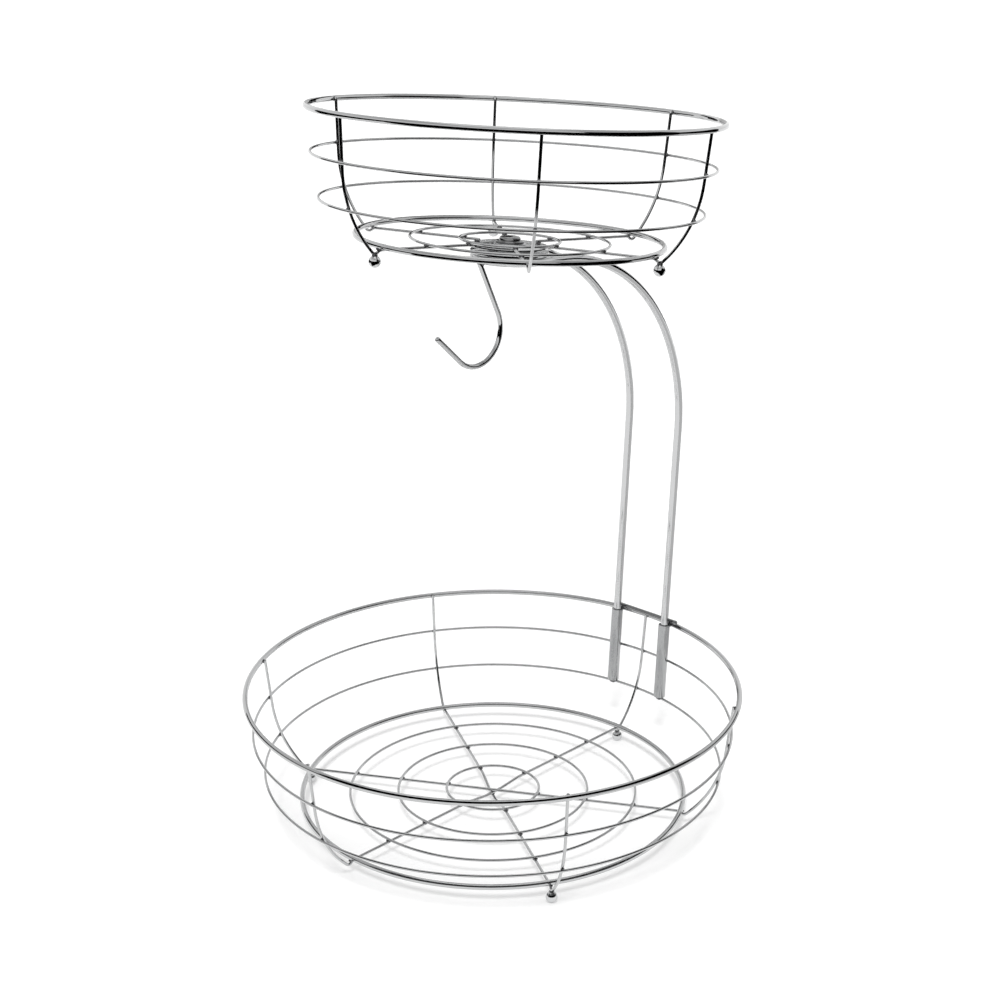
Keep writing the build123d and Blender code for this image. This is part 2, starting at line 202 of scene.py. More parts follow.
# The front rib is brighter chrome and pale low down: a painted reflection.
front_rib_painted_reflection_chrome = chrome(
    "front_rib_painted_reflection_chrome", (0.7, 0.705, 0.71), smooth=0.05, hazy=0.13, mark_size=1.5 * mm,
    mark_depth=0.1 * mm, painted_reflection_below=398 * mm,
)

# %% [markdown]
# ## Turning a bmesh into a finished piece
#
# Every piece goes through the same last steps: faces made to point outwards, smooth
# shading with crisp edges kept, a material, a body to ride on, and the CAD node that it
# stands for. Doing it in one place keeps the pieces alike.

# %% The last steps of every piece
def finish_piece(name, bm, body, material, nodes=()):
    bmesh.ops.recalc_face_normals(bm, faces=bm.faces)
    mesh = bpy.data.meshes.new(name)
    bm.to_mesh(mesh)
    bm.free()
    mesh.shade_smooth()
    mesh.set_sharp_from_angle(angle=radians(40))
    mesh.materials.append(material)
    piece = bpy.data.objects.new(name, mesh)
    bpy.context.scene.collection.objects.link(piece)
    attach(piece, body)
    if nodes:
        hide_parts(*nodes)
    print(f"{name}: {len(mesh.polygons)} faces for {', '.join(nodes) or 'no node'}")
    return piece


def check_box(piece, node):
    low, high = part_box(node)
    points = [vertex.co for vertex in piece.data.vertices]
    off = max(
        max(abs(min(point[axis] for point in points) - low[axis]),
            abs(max(point[axis] for point in points) - high[axis]))
        for axis in range(3)
    )
    print(f"  {piece.name} is within {off / mm:.2f} mm of {node}")


# %% [markdown]
# ## Rings
#
# A ring is one wire bent round a drum and butt-welded. A circle spun round the basket's
# axis is just that. The spin closes on itself, so use_merge joins its last step to its
# first. The radius and height come from the CAD ring's own box, which gives them even for
# the tilted upper basket, because tilting round the X axis leaves the width alone.

# %% A closed ring of wire
def place(floor, axis):
    tilt = up.rotation_difference(axis).to_matrix().to_4x4()
    return Matrix.Translation(floor) @ tilt


def ring_of_wire(node, body, gauge, floor, axis, material):
    low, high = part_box(node)
    radius = (high.x - low.x - gauge) / 2
    level = ((low + high) / 2 - floor).dot(axis)
    bm = bmesh.new()
    section = bmesh.ops.create_circle(bm, segments=24, radius=gauge / 2)["verts"]
    stand_up = Matrix.Translation((radius, 0, level)) @ Matrix.Rotation(pi / 2, 4, "X")
    bmesh.ops.transform(bm, matrix=stand_up, verts=section)
    bmesh.ops.spin(
        bm, geom=bm.verts[:] + bm.edges[:], cent=(0, 0, 0), axis=(0, 0, 1), dvec=(0, 0, 0),
        angle=2 * pi, steps=240, use_merge=True, use_duplicate=False,
    )
    bmesh.ops.transform(bm, matrix=place(floor, axis), verts=bm.verts)
    piece = finish_piece(f"{node}_wire", bm, body, material, [node])
    check_box(piece, node)
    return radius, level


# %% The rings of the two baskets
rings = {}
for node, gauge in (
    ("lower_rim_ring", rim_gauge), ("lower_side_ring_high", ring_gauge),
    ("lower_side_ring_low", ring_gauge), ("lower_base_ring", rim_gauge),
    ("lower_floor_ring_outer", ring_gauge), ("lower_floor_ring_middle", ring_gauge),
    ("lower_floor_ring_inner", ring_gauge), ("upper_rim_ring", rim_gauge),
    ("upper_side_ring_high", ring_gauge), ("upper_side_ring_low", ring_gauge),
    ("upper_base_ring", rim_gauge), ("upper_floor_ring", ring_gauge),
    ("upper_hub_ring", ring_gauge),
):
    lower = node.startswith("lower")
    thick = gauge == rim_gauge
    rings[node] = ring_of_wire(
        node, "lower_basket" if lower else "upper_basket", gauge,
        lower_floor if lower else upper_floor, up if lower else hub_up,
        thick_wire_chrome if thick else thin_wire_chrome,
    )
print("ring radii in mm:", {node: round(size[0] / mm, 1) for node, size in rings.items()})

# %% [markdown]
# ## Bent wires
#
# The ribs, the arch and the hook are made as a wire bender makes them: feed some wire
# straight, bend it round a pin, feed again. In bmesh the feed is an extrude and the bend
# is a spin round the pin. The wire's direction is carried along, so each move starts
# where the last one ended and the joints are always smooth. A straight run gets a loop of
# edges near both ends. Without it the rounded tip would tilt the smooth normals of the
# whole run, and a mirror-like wire shows that at once.

# %% The wire bender
def close_end(bm, edges, round_off):
    cap = bmesh.ops.edgeloop_fill(bm, edges=edges)["faces"]
    rim = list({edge for face in cap for edge in face.edges})
    bmesh.ops.bevel(
        bm, geom=rim, offset=round_off, offset_type="OFFSET", segments=3, profile=0.5,
        affect="EDGES", material=-1,
    )


def bend_wire(bm, at, along, gauge, moves, round_off, sides=20):
    at, along = Vector(at), Vector(along).normalized()
    turn = up.rotation_difference(along).to_matrix().to_4x4()
    ring = bmesh.ops.create_circle(bm, segments=sides, radius=gauge / 2)["verts"]
    bmesh.ops.transform(bm, matrix=Matrix.Translation(at) @ turn, verts=ring)
    first = list({edge for vert in ring for edge in vert.link_edges})
    edges = first
    for move in moves:
        if len(move) == 1:
            run, end = move[0], min(gauge, move[0] / 3)
            for part_run in (end, run - 2 * end, end):
                made = bmesh.ops.extrude_edge_only(bm, edges=edges)["geom"]
                verts = [part for part in made if isinstance(part, bmesh.types.BMVert)]
                edges = [part for part in made if isinstance(part, bmesh.types.BMEdge)]
                bmesh.ops.translate(bm, vec=along * part_run, verts=verts)
            at = at + along * run
        else:
            radius, angle, axis = move
            axis = axis if angle > 0 else -axis
            pin = at + axis.cross(along) * radius
            verts = list({vert for edge in edges for vert in edge.verts})
            made = bmesh.ops.spin(
                bm, geom=verts + edges, cent=pin, axis=axis, dvec=(0, 0, 0),
                angle=abs(angle), steps=max(4, round(degrees(abs(angle)) / 2.5)),
                use_merge=False, use_duplicate=False,
            )["geom_last"]
            verts = [part for part in made if isinstance(part, bmesh.types.BMVert)]
            swing = Matrix.Rotation(abs(angle), 3, axis)
            at, along = pin + swing @ (at - pin), (swing @ along).normalized()
        new = set(verts)
        edges = [part for part in made if isinstance(part, bmesh.types.BMEdge)
                 and part.verts[0] in new and part.verts[1] in new]
    close_end(bm, edges, round_off)
    close_end(bm, first, round_off)
    return at, along


# %% [markdown]
# ## Ribs
#
# A rib comes down the side, bends under the basket, dips where a ball foot is welded, and
# runs in as a spoke. The dip's two small bends are worked out from the dip's depth, so the
# straight runs between the bends follow by themselves. All of it is measured in the
# upright plane through the basket's axis, as distance outwards and height over the floor.

# %% The moves that make one rib
def rib_moves(rim_radius, lean, spoke_end, axis):
    at_rim = rim_radius - (rim_gauge / 2 + rib_gauge / 2 + weld_gap) / cos(lean)
    top = (at_rim + rib_end_above_rim * tan(lean), basket_depth + rib_end_above_rim)
    side_run = (top[1] - side_straight_height) / cos(lean)
    pin_height = side_straight_height + side_bend_radius * sin(lean)
    bend_end_height = -foot_dip + foot_dip_bend
    fall = acos((pin_height - bend_end_height) / side_bend_radius)
    dip_start = -foot_dip + foot_dip_bend * (1 - cos(fall))
    dip_end = -foot_dip + foot_dip_bend * (1 - cos(foot_dip_rise))
    spoke_start = spoke_level - spoke_bend * (1 - cos(foot_dip_rise))
    pin_out = at_rim - (basket_depth - side_straight_height) * tan(lean)
    pin_out -= side_bend_radius * cos(lean)
    fall_start = pin_out + sqrt(side_bend_radius**2 - (pin_height - bend_end_height) ** 2)
    fall_run = (bend_end_height - dip_start) / sin(fall)
    dip_out = fall_start - fall_run * cos(fall) - foot_dip_bend * sin(fall)
    rise_run = (spoke_start - dip_end) / sin(foot_dip_rise)
    spoke_out = dip_out - foot_dip_bend * sin(foot_dip_rise)
    spoke_out -= rise_run * cos(foot_dip_rise) + spoke_bend * sin(foot_dip_rise)
    moves = [
        (side_run,), (side_bend_radius, pi / 2 - lean - fall, axis), (fall_run,),
        (foot_dip_bend, fall + foot_dip_rise, axis), (rise_run,),
        (spoke_bend, -foot_dip_rise, axis), (spoke_out - spoke_end,),
    ]
    return top, moves, dip_out


def outwards(angle, floor_axis):
    tilt = up.rotation_difference(floor_axis)
    return tilt @ Vector((cos(radians(angle)), sin(radians(angle)), 0))


# %% [markdown]
# ### Three wires make the lower basket's six ribs
#
# The lower basket's ribs come in opposite pairs: one wire makes a rib, the spoke right
# across the floor, and the rib on the far side. The three wires cross in the middle, so
# the second and third step down by one wire thickness there to pass under the first.

# %% The lower rib wires
cross_span = 7 * mm
cross_slope_run = 16 * mm
cross_bend = 12 * mm
lower_rim = rings["lower_rim_ring"][0]
lower_rib_angles = [30, 90, 150, 210, 270, 330]
for number in range(3):
    out = outwards(lower_rib_angles[number], up)
    axis = out.cross(up)
    middle = cross_span + cross_slope_run if number else 0
    top, moves, lower_dip_out = rib_moves(lower_rim, lower_lean, middle, -axis)
    if number:
        step = number * (rib_gauge + weld_gap)
        slope = -(cross_slope_run**2 + step**2) ** 0.5
        angle = acos(cross_slope_run / -slope)
        cut = cross_bend * tan(angle / 2)
        moves[-1] = (moves[-1][0] - cut,)
        moves += [(cross_bend, -angle, -axis), (-slope - 2 * cut,),
                  (cross_bend, angle, -axis), (cross_span - cut,)]
    bm = bmesh.new()
    start = lower_floor + out * top[0] + up * top[1]
    downwards = -up * cos(lower_lean) - out * sin(lower_lean)
    bend_wire(bm, start, downwards, rib_gauge, moves + moves[::-1], 0.5 * mm)
    node = f"lower_rib_wire_{number + 1}"
    piece = finish_piece(
        f"{node}_bent", bm, "lower_basket", thin_wire_chrome, [node]
    )
    check_box(piece, node)

# %% The ribs of the upper basket
upper_rim = rings["upper_rim_ring"][0]
upper_rib_angles = [19.65 + 60 * number for number in range(6)]
front_rib = 5
for number, angle in enumerate(upper_rib_angles):
    out = outwards(angle, hub_up)
    top, moves, upper_dip_out = rib_moves(upper_rim, upper_lean, 19 * mm, -out.cross(hub_up))
    bm = bmesh.new()
    start = upper_floor + out * top[0] + hub_up * top[1]
    downwards = -hub_up * cos(upper_lean) - out * sin(upper_lean)
    bend_wire(bm, start, downwards, rib_gauge, moves, 0.5 * mm)
    node = f"upper_rib_{number + 1}"
    # The front rib carries the painted reflection.
    finish = front_rib_painted_reflection_chrome if number == front_rib else thin_wire_chrome
    piece = finish_piece(
        f"{node}_bent", bm, "upper_basket", finish, [node]
    )
    check_box(piece, node)
print("feet at", round(lower_dip_out / mm, 2), "and", round(upper_dip_out / mm, 2), "mm")

# %% [markdown]
# ## Arch and hook
#
# The arch is a single thick wire: a leg, a big bend over the top, a short run, half a turn
# round the hub, and the same way back. The hook is thinner wire that bends more than half
# round and ends in the open. Both are the wire bender again, with a new bending axis where
# the wire leaves its first plane.

# %% The arch
arch_lean = radians(3.6)
leg_start = Vector((-20.5, 141.559, 33.5286)) * mm
leg_up = Vector((0, sin(arch_lean), cos(arch_lean)))
sideways = Vector((1, 0, 0))
leg_run = 186.8075 * mm
top_bend_radius, top_bend = 120.8072 * mm, radians(89.4)
top_run = 25.7 * mm
loop_radius = 20.5 * mm
way_up = [(leg_run,), (top_bend_radius, top_bend, sideways), (top_run,)]
around_hub = [(loop_radius, pi, hub_up)]
way_back = [(top_run,), (top_bend_radius, -top_bend, sideways), (leg_run,)]
bm = bmesh.new()
bend_wire(
    bm, leg_start, leg_up, arch_gauge, way_up + around_hub + way_back, 0.5 * mm, sides=32
)
piece = finish_piece(
    "arch_bent_wire", bm, "stand", arch_chrome, ["arch_wire"]
)
check_box(piece, "arch_wire")

# %% The crossbar behind the legs
bm = bmesh.new()
crossbar_start = Vector((-24.6, 148.904, 86.2584)) * mm
crossbar_moves = [(52.2 * mm,)]
bend_wire(bm, crossbar_start, sideways, crossbar_gauge, crossbar_moves, 0.8 * mm, sides=24)
# The crossbar's darker chrome is painted shade.
piece = finish_piece(
    "crossbar_wire", bm, "stand", painted_shade_chrome, ["arch_crossbar"]
)
check_box(piece, "arch_crossbar")

# %% The banana hook
bm = bmesh.new()
shank_lean = radians(25.5)
hook_start = Vector((0, -9.08849, 351.45086)) * mm
hook_down = Vector((0, sin(shank_lean), -cos(shank_lean)))
tip_rise = radians(42.8)
hook_turn = pi / 2 + shank_lean + tip_rise
shank_run, hook_radius, tip_run = 36.1 * mm, 20.1 * mm, 25.2 * mm
hook_moves = [(shank_run,), (hook_radius, -hook_turn, sideways), (tip_run,)]
bend_wire(bm, hook_start, hook_down, hook_gauge, hook_moves, 1.0 * mm, sides=28)
piece = finish_piece(
    "hook_wire", bm, "stand", thick_wire_chrome, ["banana_hook"]
)
check_box(piece, "banana_hook")

# %% [markdown]
# ## Turned pieces
#
# The feet, sleeves, plates, washer, stud and nut are all round about one axis, so each is
# a short profile spun once round, like a piece on a lathe. The profile is a chain of
# points, distance from the axis and height along it. Spinning a chain that touches the
# axis leaves a pile of points there, which merging by distance closes. Sharp corners then
# get a small bevel, because a turned or pressed edge is never knife-sharp and the bevel is
# what catches the light.

# %% The lathe
def turned_piece(name, profile, foot, axis, corner, body, material, nodes, closed=False):
    bm = bmesh.new()
    verts = [bm.verts.new((out, 0, height)) for out, height in profile]
    pairs = list(zip(verts, verts[1:])) + ([(verts[-1], verts[0])] if closed else [])
    edges = [bm.edges.new(pair) for pair in pairs]
    bmesh.ops.spin(
        bm, geom=verts + edges, cent=(0, 0, 0), axis=(0, 0, 1), dvec=(0, 0, 0),
        angle=2 * pi, steps=64, use_merge=True, use_duplicate=False,
    )
    bmesh.ops.remove_doubles(bm, verts=bm.verts, dist=1e-6)
    bmesh.ops.recalc_face_normals(bm, faces=bm.faces)
    sharp = [edge for edge in bm.edges if edge.calc_face_angle(0) > radians(50)]
    bmesh.ops.bevel(
        bm, geom=sharp, offset=corner, offset_type="OFFSET", segments=3, profile=0.5,
        affect="EDGES", material=-1,
    )
    bmesh.ops.transform(bm, matrix=place(foot, axis), verts=bm.verts)
    piece = finish_piece(name, bm, body, material, nodes)
    check_box(piece, nodes[0])
    return piece


# %% The two sleeves that take the legs
sleeve_foot = Vector((loop_radius, 141.521 * mm, 32.9286 * mm))
sleeve_length = 51.844 * mm
bore, outside = 2.58 * mm, 3.8 * mm
tube = [(bore, 0), (outside, 0), (outside, sleeve_length), (bore, sleeve_length)]
for side, word in ((-1, "left"), (1, "right")):
    foot = Vector((side * sleeve_foot.x, sleeve_foot.y, sleeve_foot.z))
    turned_piece(
        f"sleeve_{word}", tube, foot, leg_up, 0.25 * mm, "lower_basket",
        sleeve_chrome, [f"socket_{word}"], closed=True,
    )

# %% The plates, the washer and the stud of the hub
def disc(name, node, body, radius, hole, low, high, corner, material):
    profile = [(hole, low), (radius, low), (radius, high), (hole, high)]
    turned_piece(name, [(a * mm, b * mm) for a, b in profile], upper_floor, hub_up,
                 corner * mm, body, material, [node], closed=True)


disc("hub_plate_disc", "upper_hub_plate", "upper_basket", radius=22.5,
     hole=2.8, low=-4.19, high=-2.69, corner=0.35, material=plate_chrome)
disc("hub_spacer_disc", "hub_spacer", "stand", radius=14,
     hole=2.8, low=-5.89, high=-4.29, corner=0.3, material=plate_chrome)
disc("seat_plate_disc", "arch_seat_plate", "stand", radius=23,
     hole=2.6, low=-7.91, high=-5.91, corner=0.45, material=plate_chrome)
disc("washer_disc", "nut_washer", "nut_washer", radius=9.4,
     hole=2.8, low=-2.59, high=-1.69, corner=0.25, material=bright_chrome)
stud = [(0, -10.33), (3.2, -10.33), (4.3, -9.6), (4.6, -8.6), (4.6, -7.93), (2.5, -7.93),
        (2.5, 1.11), (0, 1.11)]
turned_piece("stud_turned", [(a * mm, b * mm) for a, b in stud], upper_floor, hub_up,
             0.2 * mm, "stand", bright_chrome, ["hub_stud"])

# %% The domed nut
nut = [(2.55, -1.59), (8.2, -1.59), (8.2, -0.69), (7.8, -0.29), (6.3, -0.29), (6.3, 0.9),
       (6.0, 1.6), (5.2, 2.05), (3.6, 2.25), (0, 2.31)]
roof = [(0, 1.41), (2.55, 1.41)]
# The nut's darker chrome is a painted dark reflection.
turned_piece("nut_dome", [(a * mm, b * mm) for a, b in nut + roof], upper_floor, hub_up,
             0.2 * mm, "domed_nut", painted_shade_chrome, ["domed_nut"],
             closed=True)

# %% [markdown]
# ## Ball feet
#
# Each foot is a steel ball, pressed and welded under a rib's dip. The balls that stand on
# the table are cut flat by a third of a millimetre, so that the basket doesn't rock.

# %% Six ball feet
foot_ball = 7 * mm
foot_centre = -8.02 * mm


def ball_foot(name, node, body, floor, axis, angle, dip_out, flat):
    centre = floor + outwards(angle, axis) * dip_out + axis * foot_centre
    bm = bmesh.new()
    bmesh.ops.create_uvsphere(bm, u_segments=40, v_segments=28, radius=foot_ball / 2)
    bmesh.ops.transform(bm, matrix=place(centre, axis), verts=bm.verts)
    if flat:
        cut = bmesh.ops.bisect_plane(
            bm, geom=bm.verts[:] + bm.edges[:] + bm.faces[:], plane_co=(0, 0, 0),
            plane_no=(0, 0, -1), clear_outer=True,
        )["geom_cut"]
        bmesh.ops.edgeloop_fill(
            bm, edges=[part for part in cut if isinstance(part, bmesh.types.BMEdge)]
        )
    piece = finish_piece(name, bm, body, bright_chrome, [node])
    check_box(piece, node)


lower_foot_angles = [90, 210, 330]
upper_foot_angles = [19.65, 139.65, 259.65]
for number in range(3):
    ball_foot(f"lower_ball_{number + 1}", f"lower_foot_{number + 1}", "lower_basket",
              lower_floor, up, lower_foot_angles[number], lower_dip_out, True)
    ball_foot(f"upper_ball_{number + 1}", f"upper_foot_{number + 1}", "upper_basket",
              upper_floor, hub_up, upper_foot_angles[number], upper_dip_out, False)

# %% [markdown]
# ## Welds
#
# Where two wires cross, a resistance weld melts them into each other and squeezes out a
# small bead, and the plating makes the bead shine. The beads are what makes a wire basket
# look welded and not merely stacked. Each is a little ball of few faces, stretched along
# the joint. There are more than a hundred, so each body gets its beads as one piece. A
# bead's size is given as three half widths in mm: through the joint, along it and sideways.

# %% The sizes of the beads
bead_sizes = {
    "rim": (0.8, 1.5, 1.3), "side ring": (1.0, 1.4, 1.3), "base ring": (0.8, 1.4, 1.2),
    "floor ring": (1.25, 1.75, 1.6), "foot": (0.8, 1.9, 1.5), "hub plate": (0.45, 1.6, 1.3),
    "spoke crossing": (0.8, 1.3, 1.3), "sleeve and high ring": (0.9, 2.4, 1.5),
    "sleeve and low ring": (0.9, 2.4, 1.3), "sleeve and rim": (1.3, 2.2, 1.5),
    "crossbar": (0.8, 1.9, 1.9), "hook": (1.0, 2.4, 1.7), "seat plate": (0.7, 2.2, 1.5),
}
side_ring_leans = {"high": 0.1, "low": 0.4}
base_ring_lean = -0.35
print(len(bead_sizes), "kinds of bead")

# %% A bag of weld beads for each body
def bead(bm, at, across, along, kind):
    ball = bmesh.ops.create_icosphere(bm, subdivisions=2, radius=1)["verts"]
    across = Vector(across).normalized()
    along = (Vector(along) - across * across.dot(Vector(along))).normalized()
    turn = Matrix((across, along, across.cross(along))).transposed().to_4x4()
    stretch = Matrix.Diagonal((*[part * mm for part in bead_sizes[kind]], 1))
    bmesh.ops.transform(bm, matrix=Matrix.Translation(at) @ turn @ stretch, verts=ball)


def basket_beads(bm, prefix, floor, axis, angles, floor_rings):
    for angle in angles:
        out = outwards(angle, axis)
        around = axis.cross(out)
        radius, level = rings[f"{prefix}_rim_ring"]
        joint = floor + out * (radius - rim_gauge / 2) + axis * level
        bead(bm, joint, out, axis, "rim")
        for ring in ("high", "low"):
            radius, level = rings[f"{prefix}_side_ring_{ring}"]
            lean = side_ring_leans[ring]
            inwards = (-out * cos(lean) + axis * sin(lean)).normalized()
            joint = floor + out * radius + axis * level + inwards * ring_gauge / 2
            bead(bm, joint, inwards, axis, "side ring")
        radius, level = rings[f"{prefix}_base_ring"]
        joint = floor + out * radius + axis * level
        joint -= (axis * cos(base_ring_lean) + out * sin(base_ring_lean)) * rim_gauge / 2
        bead(bm, joint, axis, out, "base ring")
        for ring in floor_rings:
            radius, level = rings[ring]
            joint = floor + out * radius + axis * (level - ring_gauge / 2)
            bead(bm, joint, axis, around, "floor ring")


lower_beads = bmesh.new()
basket_beads(
    lower_beads, "lower", lower_floor, up, lower_rib_angles,
    ["lower_floor_ring_outer", "lower_floor_ring_middle", "lower_floor_ring_inner"],
)
upper_beads = bmesh.new()
basket_beads(
    upper_beads, "upper", upper_floor, hub_up, upper_rib_angles,
    ["upper_floor_ring", "upper_hub_ring"],
)

# %% Beads at the feet, the hub plate and where the floor wires cross
hub_bead_out = 21 * mm
for number in range(3):
    out = outwards(lower_foot_angles[number], up)
    joint = lower_floor + out * lower_dip_out - up * (foot_dip + rib_gauge / 2)
    bead(lower_beads, joint, up, out, "foot")
    out = outwards(upper_foot_angles[number], hub_up)
    joint = upper_floor + out * upper_dip_out - hub_up * (foot_dip + rib_gauge / 2)
    bead(upper_beads, joint, hub_up, out, "foot")
for angle in upper_rib_angles:
    out = outwards(angle, hub_up)
    joint = upper_floor + out * hub_bead_out + hub_up * (spoke_level - rib_gauge / 2)
    bead(upper_beads, joint, hub_up, out, "hub plate")
for step in range(2):
    joint = lower_floor + up * (spoke_level - (step + 0.5) * (rib_gauge + weld_gap))
    bead(lower_beads, joint, up, sideways, "spoke crossing")

# %% Beads at the sleeves
rim_bead_out = 4.3 * mm
for side in (-1, 1):
    bottom = Vector((side * sleeve_foot.x, sleeve_foot.y, sleeve_foot.z))
    for ring in ("high", "low"):
        radius, level = rings[f"lower_side_ring_{ring}"]
        height = level + lower_floor.z
        middle = bottom + leg_up * (height - bottom.z) / leg_up.z
        outer = Vector((middle.x, sqrt(radius**2 - middle.x**2), height))
        out = Vector((outer.x, outer.y, 0)).normalized()
        joint = outer - out * ring_gauge / 2
        bead(lower_beads, joint, out, out.cross(up), f"sleeve and {ring} ring")
    height = basket_depth + lower_floor.z
    middle = bottom + leg_up * (height - bottom.z) / leg_up.z
    out = Vector((middle.x, middle.y, 0)).normalized()
    bead(lower_beads, middle + out * rim_bead_out, out, out.cross(up), "sleeve and rim")

# %% Beads on the stand
stand_beads = bmesh.new()
backwards = Vector((0, 1, 0))
hook_bead_down = 2 * mm
loop_centre = Vector((0, 15.9361, 349.918)) * mm
loop_bead_angles = (200, 240, 300, 340)
for leg_foot in (leg_start, leg_start + sideways * 2 * loop_radius):
    leg = leg_foot + leg_up * (crossbar_start.z - leg_start.z) / leg_up.z
    bead(stand_beads, leg + backwards * arch_gauge / 2, backwards, up, "crossbar")
hook_joint = hook_start + hook_down * hook_bead_down
to_loop = Vector((0, cos(shank_lean), sin(shank_lean)))
bead(stand_beads, hook_joint + to_loop * hook_gauge / 2, to_loop, hook_down, "hook")
for angle in loop_bead_angles:
    out = outwards(angle, hub_up)
    joint = loop_centre + out * loop_radius + hub_up * arch_gauge / 2
    bead(stand_beads, joint, hub_up, hub_up.cross(out), "seat plate")

# %% The bags of beads become pieces
finish_piece("lower_weld_beads", lower_beads, "lower_basket", weld_chrome)
finish_piece("upper_weld_beads", upper_beads, "upper_basket", weld_chrome)
finish_piece("stand_weld_beads", stand_beads, "stand", weld_chrome)

# %% [markdown]
# ## The floor and the light
#
# The studio is white all round, so the white comes from the floor and the world and not
# from strong lamps. The floor is a plain diffuse sheet that glows a little to the camera and
# in reflections, which brings it up to paper white and still keeps the basket's shadow.
# Outside the basket the camera sees it glow a little more. This is painted light: it washes out
# the faint shading there, so only the shadows close to the wires stay. A soft sky gives most of
# the light, and one small lamp at the front left draws the thin shadows under the wires.

# %% Light path switches for what the camera and the chrome see
def seen_directly(nodes, links):
    rays = nodes.new("ShaderNodeLightPath")
    total = rays.outputs["Is Camera Ray"]
    for other in ("Is Glossy Ray", "Is Transmission Ray"):
        either = nodes.new("ShaderNodeMath")
        either.operation = "MAXIMUM"
        links.new(total, either.inputs[0])
        links.new(rays.outputs[other], either.inputs[1])
        total = either.outputs["Value"]
    return total


# %% The floor's paper
paper_colour = (0.82, 0.82, 0.82, 1)
# The first glow lifts the whole floor to paper white. The second is painted light that is added
# further out.
paper_glow, outer_painted_glow = 0.22, 0.11
painted_glow_starts, painted_glow_full = 0.125, 0.16

paper = bpy.data.materials.new("white_paper")
paper.use_nodes = True
nodes, links = paper.node_tree.nodes, paper.node_tree.links
nodes.remove(nodes["Principled BSDF"])
matt = nodes.new("ShaderNodeBsdfDiffuse")
matt.inputs["Color"].default_value = paper_colour
glow = nodes.new("ShaderNodeEmission")
both = nodes.new("ShaderNodeAddShader")
links.new(matt.outputs["BSDF"], both.inputs[0])
links.new(glow.outputs["Emission"], both.inputs[1])
links.new(both.outputs["Shader"], nodes["Material Output"].inputs["Surface"])
print("paper made")

# %% How strongly the paper glows
glow_level = nodes.new("ShaderNodeMath")
glow_level.operation = "MULTIPLY"
glow_level.inputs[1].default_value = paper_glow
links.new(seen_directly(nodes, links), glow_level.inputs[0])

# Painted light: further out the camera sees the floor glow more, which washes out the faint
# shading there.
middle = nodes.new("ShaderNodeTexCoord")
distance = nodes.new("ShaderNodeVectorMath")
distance.operation = "LENGTH"
links.new(middle.outputs["Object"], distance.inputs[0])
painted_glow_ramp = nodes.new("ShaderNodeMapRange")
painted_glow_ramp.inputs["From Min"].default_value = painted_glow_starts
painted_glow_ramp.inputs["From Max"].default_value = painted_glow_full
painted_glow_ramp.inputs["To Max"].default_value = outer_painted_glow
links.new(distance.outputs["Value"], painted_glow_ramp.inputs["Value"])

to_camera = nodes.new("ShaderNodeLightPath")
more_glow = nodes.new("ShaderNodeMath")
more_glow.operation = "MULTIPLY_ADD"
links.new(to_camera.outputs["Is Camera Ray"], more_glow.inputs[0])
links.new(painted_glow_ramp.outputs["Result"], more_glow.inputs[1])
links.new(glow_level.outputs["Value"], more_glow.inputs[2])
links.new(more_glow.outputs["Value"], glow.inputs["Strength"])
print("the paper glows by", paper_glow, "and further out by", outer_painted_glow, "more")

# %% The floor
floor_half_width = 15
bm = bmesh.new()
bmesh.ops.create_grid(bm, x_segments=1, y_segments=1, size=floor_half_width)
floor_mesh = bpy.data.meshes.new("floor")
bm.to_mesh(floor_mesh)
bm.free()
floor_mesh.materials.append(paper)
floor = bpy.data.objects.new("floor", floor_mesh)
bpy.context.scene.collection.objects.link(floor)
print("floor made")

# %% The world, with a ceiling that is darker than the walls
walls_end, ceiling_starts = 0.3, 0.95
wall_strength, ceiling_strength = 1.0, 0.45
light_strength = 0.68

world = bpy.data.worlds.new("white_studio")
bpy.context.scene.world = world
world.use_nodes = True
nodes, links = world.node_tree.nodes, world.node_tree.links
sky = nodes["Background"]
sky.inputs["Color"].default_value = (1, 1, 1, 1)
direction = nodes.new("ShaderNodeTexCoord")
height = nodes.new("ShaderNodeSeparateXYZ")
links.new(direction.outputs["Generated"], height.inputs["Vector"])
ceiling = nodes.new("ShaderNodeMapRange")
ceiling.inputs["From Min"].default_value = walls_end
ceiling.inputs["From Max"].default_value = ceiling_starts
ceiling.inputs["To Min"].default_value = wall_strength
ceiling.inputs["To Max"].default_value = ceiling_strength
links.new(height.outputs["Z"], ceiling.inputs["Value"])
level = nodes.new("ShaderNodeMapRange")
level.inputs["To Min"].default_value = light_strength
links.new(ceiling.outputs["Result"], level.inputs["To Max"])
links.new(seen_directly(nodes, links), level.inputs["Value"])
links.new(level.outputs["Result"], sky.inputs["Strength"])
print("world made")

# %% The lamp at the front left
lamp_data = bpy.data.lights.new("front_lamp", "SUN")
lamp_data.angle = 0.22
lamp_data.energy = 1.5
lamp = bpy.data.objects.new("front_lamp", lamp_data)
lamp_height, lamp_side = radians(53), radians(-53)
to_lamp = Vector((cos(lamp_side) * cos(lamp_height), sin(lamp_side) * cos(lamp_height),
                  sin(lamp_height)))
lamp.location = to_lamp * 2
lamp.rotation_euler = to_lamp.to_track_quat("Z", "Y").to_euler()
lamp.visible_glossy = False
bpy.context.scene.collection.objects.link(lamp)
print("lamp made")

# %% [markdown]
# ## Cards that the chrome mirrors
#
# In an all-white room chrome goes flat and pale. Photographers stand cards round it, just
# out of the picture, and their reflection draws the dark lines along each wire. Here most
# cards are bands round the basket's axis, each given by the distance and height of its two
# long edges in metres, the direction of its middle and its spread, both in degrees. Only
# reflections can see them, so they throw no shadow and never block a view. The cards
# towards the camera are black. Grey ones behind and at the right tone down the ends of the
# rings and the right edge of the legs, and a white strip overhead draws a bright line
# along the tops of the wires.

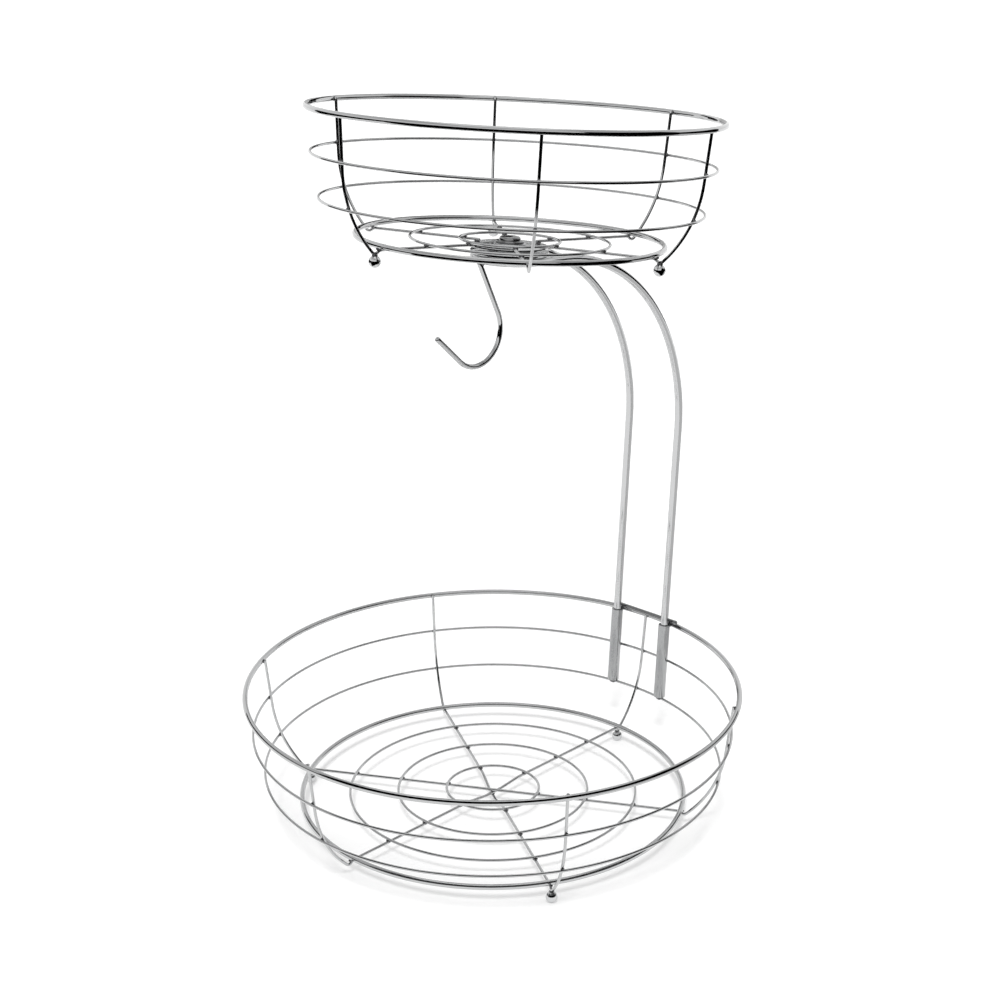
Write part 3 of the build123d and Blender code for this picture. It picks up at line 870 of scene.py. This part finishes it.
# %% The cards' plain colours
def card_material(name, upper, lower):
    material = bpy.data.materials.new(name)
    material.use_nodes = True
    nodes, links = material.node_tree.nodes, material.node_tree.links
    nodes.remove(nodes["Principled BSDF"])
    side = nodes.new("ShaderNodeNewGeometry")
    faces = nodes.new("ShaderNodeMapRange")
    faces.inputs["To Min"].default_value = upper
    faces.inputs["To Max"].default_value = lower
    links.new(side.outputs["Backfacing"], faces.inputs["Value"])
    paint = nodes.new("ShaderNodeEmission")
    links.new(faces.outputs["Result"], paint.inputs["Strength"])
    links.new(paint.outputs["Emission"], nodes["Material Output"].inputs["Surface"])
    print("card colour", name)
    return material


card_black = card_material("card_black", 0, 0)
card_grey = card_material("card_grey", 0.55, 0.55)
card_pale_grey = card_material("card_pale_grey", 0.7, 0.7)
card_white = card_material("card_white", 1, 1)
card_two_sided = card_material("card_black_over_white", 0, 1)

# %% A card becomes part of the studio
def stand_card(name, bm, material):
    mesh = bpy.data.meshes.new(name)
    bm.to_mesh(mesh)
    bm.free()
    mesh.materials.append(material)
    board = bpy.data.objects.new(name, mesh)
    bpy.context.scene.collection.objects.link(board)
    board.visible_camera = False
    board.visible_diffuse = False
    board.visible_shadow = False


def card(name, material, inner, outer, middle_angle, spread):
    bm = bmesh.new()
    turn = Matrix.Rotation(radians(middle_angle - spread / 2), 3, "Z")
    verts = [bm.verts.new(turn @ Vector((out, 0, high))) for out, high in (inner, outer)]
    edge = bm.edges.new(verts)
    bmesh.ops.spin(
        bm, geom=verts + [edge], cent=(0, 0, 0), axis=(0, 0, 1), dvec=(0, 0, 0),
        angle=radians(spread), steps=24, use_merge=False, use_duplicate=False,
    )
    stand_card(name, bm, material)


# %% The cards round the basket
front, behind = -46, 134
card("card_front_near", card_black, (0.17, 0.25), (0.45, 0.25), front + 10, 160)
card("card_front_far", card_black, (0.45, 0.25), (1.1, 0.25), front, 260)
card("card_front_edge", card_black, (1.1, 0.20), (1.1, 0.62), front, 260)
card("card_under_upper", card_two_sided, (0.115, 0.27), (0.17, 0.27), front + 10, 160)
card("card_right", card_black, (0.9, 0.2), (0.9, 1.0), front + 64, 56)
card("card_back_grey", card_grey, (1.4, 0.15), (1.4, 0.68), behind, 24)
card("card_behind_hub", card_black, (0.30, 0.37), (0.30, 0.55), behind + 4, 18)
card("card_floor_right", card_pale_grey, (0.26, 0.01), (1.1, 0.01), behind - 84, 130)
print("cards made")

# %% The bright strip overhead
strip_length, strip_width, strip_height, strip_back = 2.2, 0.8, 1.6, 0.55
bm = bmesh.new()
strip = bmesh.ops.create_grid(bm, x_segments=1, y_segments=1, size=0.5)["verts"]
bmesh.ops.scale(bm, vec=(strip_length, strip_width, 1), verts=strip)
towards_back = Matrix.Rotation(radians(behind), 4, "Z")
overhead = towards_back @ Matrix.Translation((strip_back, 0, strip_height))
bmesh.ops.transform(bm, matrix=overhead, verts=strip)
stand_card("card_overhead", bm, card_white)
print("overhead strip made")

# %% [markdown]
# ## The camera
#
# The camera stands where the photograph was taken: a little over a metre away and just
# above the upper rim, looking down on the lower basket. Its place, direction and lens were
# worked out from the ellipses that the rings make in the photograph.

# %% The camera
camera_data = bpy.data.cameras.new("photo_camera")
camera_data.sensor_width = 36
camera_data.lens = 65.37
camera = bpy.data.objects.new("photo_camera", camera_data)
camera_place = Vector((718.24, -741.05, 563.65)) * mm
right = Vector((0.72241, 0.69146, -0.00343))
camera_up = Vector((-0.22478, 0.23953, 0.94451))
ahead = Vector((-0.65391, 0.68155, -0.32847))
turn = Matrix((right, camera_up, -ahead)).transposed().to_4x4()
camera.matrix_world = Matrix.Translation(camera_place) @ turn
bpy.context.scene.collection.objects.link(camera)
bpy.context.scene.camera = camera
bpy.context.scene.view_settings.view_transform = "Standard"
